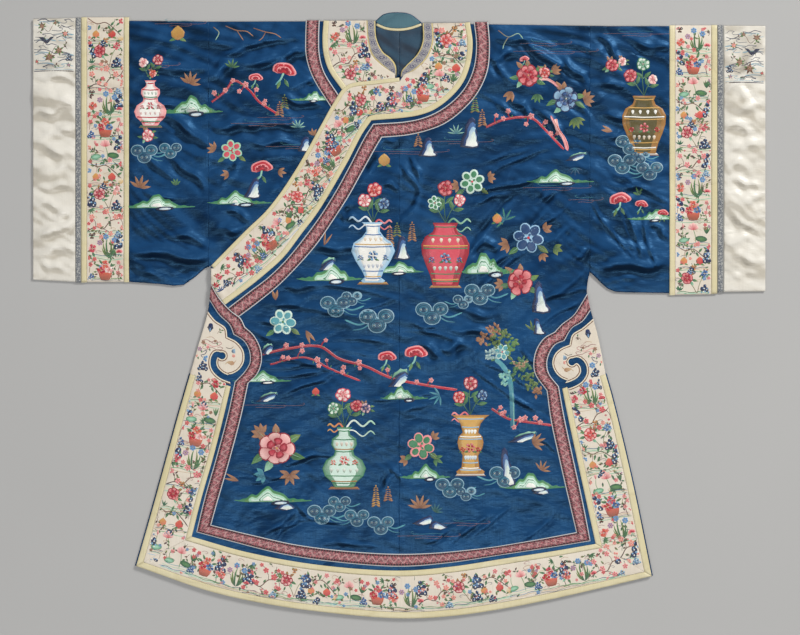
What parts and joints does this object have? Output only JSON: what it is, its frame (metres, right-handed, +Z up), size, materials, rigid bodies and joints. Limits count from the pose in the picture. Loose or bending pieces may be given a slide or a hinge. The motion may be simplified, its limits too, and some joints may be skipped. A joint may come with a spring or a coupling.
{
  "type": "embroidered silk coat",
  "caption": "Loose silk coat laid flat on its back, with a round neck, a curved overlap closing at the side, wide banded sleeves with cuffs, and scroll-headed side slits.",
  "frame": {"origin": "centre of the coat's length and width, on the surface that it lies on", "axes": "+X along the sleeves to the wearer's left, +Y along the coat to the neck, +Z up from the surface to the coat's front"},
  "size_m": [1.317, 1.0901, 0.007],
  "materials": {
    "silk": "mid-blue silk satin, soft sheen, with silk embroidery",
    "embroidered": "cream silk satin covered with silk embroidery",
    "binding": "pale yellow silk satin, folded, soft sheen",
    "red_ribbon": "woven ribbon, red and pink with dark dotted edges and pale border lines, matte",
    "blue_ribbon": "woven ribbon, grey blue figures on a pale grey ground, matte",
    "ivory": "ivory silk satin, soft sheen",
    "lining": "plain dark teal lining silk, matte"
  },
  "bodies": {
    "root": {"coat_half_left": "silk", "coat_half_right": "silk", "overlap_front": "silk", "sleeve_right": "silk", "sleeve_binding_inner_right": "binding", "sleeve_band_right": "embroidered", "sleeve_binding_outer_right": "binding", "sleeve_ribbon_right": "blue_ribbon", "sleeve_cuff_right": "ivory", "sleeve_left": "silk", "sleeve_binding_inner_left": "binding", "sleeve_band_left": "embroidered", "sleeve_binding_outer_left": "binding", "sleeve_ribbon_left": "blue_ribbon", "sleeve_cuff_left": "ivory", "binding_closing": "binding", "facing_collar_left": "embroidered", "binding_collar_left": "binding", "ribbon_collar_left": "red_ribbon", "neck_ribbon_left": "blue_ribbon", "facing_collar_right": "embroidered", "binding_collar_right": "binding", "ribbon_collar_right": "red_ribbon", "neck_ribbon_right": "blue_ribbon", "neck_lining_left": "lining", "neck_lining_right": "lining", "neck_binding_back": "binding", "neck_lining_back": "lining", "binding_outer_hem": "binding", "binding_inner_hem": "binding", "binding_outer_slit_right": "binding", "binding_inner_slit_right": "binding", "binding_outer_slit_left": "binding", "binding_inner_slit_left": "binding", "facing_hem": "embroidered", "ribbon_hem": "red_ribbon", "facing_slit_right": "embroidered", "ribbon_slit_right": "red_ribbon", "facing_slit_left": "embroidered", "ribbon_slit_left": "red_ribbon"}
  },
  "joints": []
}
